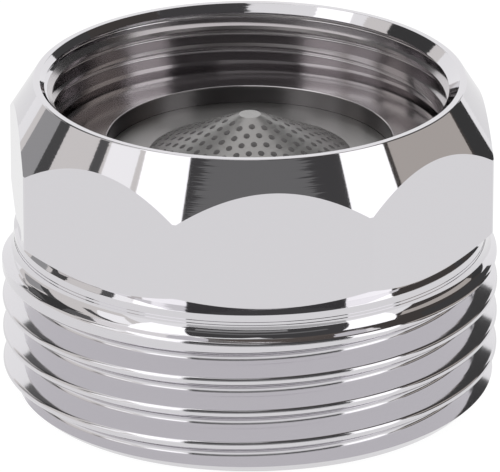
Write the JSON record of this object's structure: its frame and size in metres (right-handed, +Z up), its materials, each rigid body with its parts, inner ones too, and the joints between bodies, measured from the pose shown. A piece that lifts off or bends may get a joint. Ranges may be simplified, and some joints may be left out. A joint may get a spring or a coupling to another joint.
{
  "type": "thread adapter",
  "caption": "Turned thread adapter for a tap spout: faceted grip with a fine inner thread above, coarse outer pipe thread below, and a perforated cone strainer inside.",
  "frame": {"origin": "centre of the lower sealing face, on the axis of both threads", "axes": "+Z up along the axis, from the outer thread to the rim of the inner one; a flat of the octagon faces -Y"},
  "size_m": [0.0264, 0.0264, 0.0172],
  "materials": {
    "chrome_plating": "polished",
    "stainless_sheet": "satin"
  },
  "bodies": {
    "root": {"adapter_body": "chrome_plating", "strainer": "stainless_sheet"}
  },
  "joints": []
}
